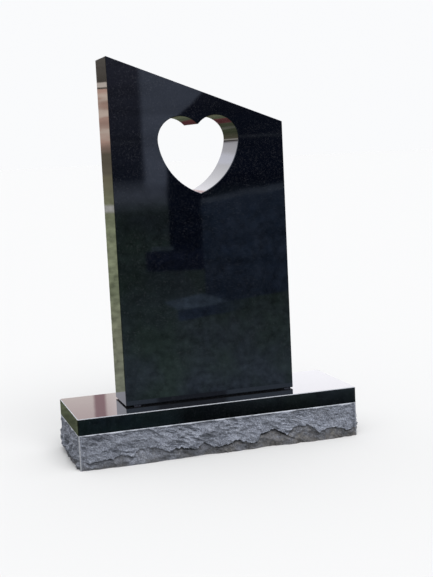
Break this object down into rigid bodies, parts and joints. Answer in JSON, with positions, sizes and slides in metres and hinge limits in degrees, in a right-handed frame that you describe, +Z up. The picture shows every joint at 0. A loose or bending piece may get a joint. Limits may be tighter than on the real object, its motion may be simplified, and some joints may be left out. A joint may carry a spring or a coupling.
{
  "type": "heart headstone",
  "caption": "Polished black granite headstone: an upright tablet with a slanted top and a heart cut right through it, on a base with rock-pitched sides.",
  "frame": {"origin": "middle of the base's underside, midway between the planes of its polished band", "axes": "+X to the right seen from the front, towards the low side of the tablet; +Y to the back; +Z up"},
  "size_m": [0.9507, 0.3542, 1.2435],
  "materials": {
    "base_granite": "black granite, polished on top and round a band, rock-pitched below",
    "tablet_granite": "black granite, polished all over",
    "setting_compound": "dark matt setting compound",
    "spacer": "grey plastic"
  },
  "bodies": {
    "root": {"base": "base_granite", "tablet": "tablet_granite", "setting_bed": "setting_compound", "spacer_front_left": "spacer", "spacer_front_right": "spacer", "spacer_back_left": "spacer", "spacer_back_right": "spacer"}
  },
  "joints": []
}
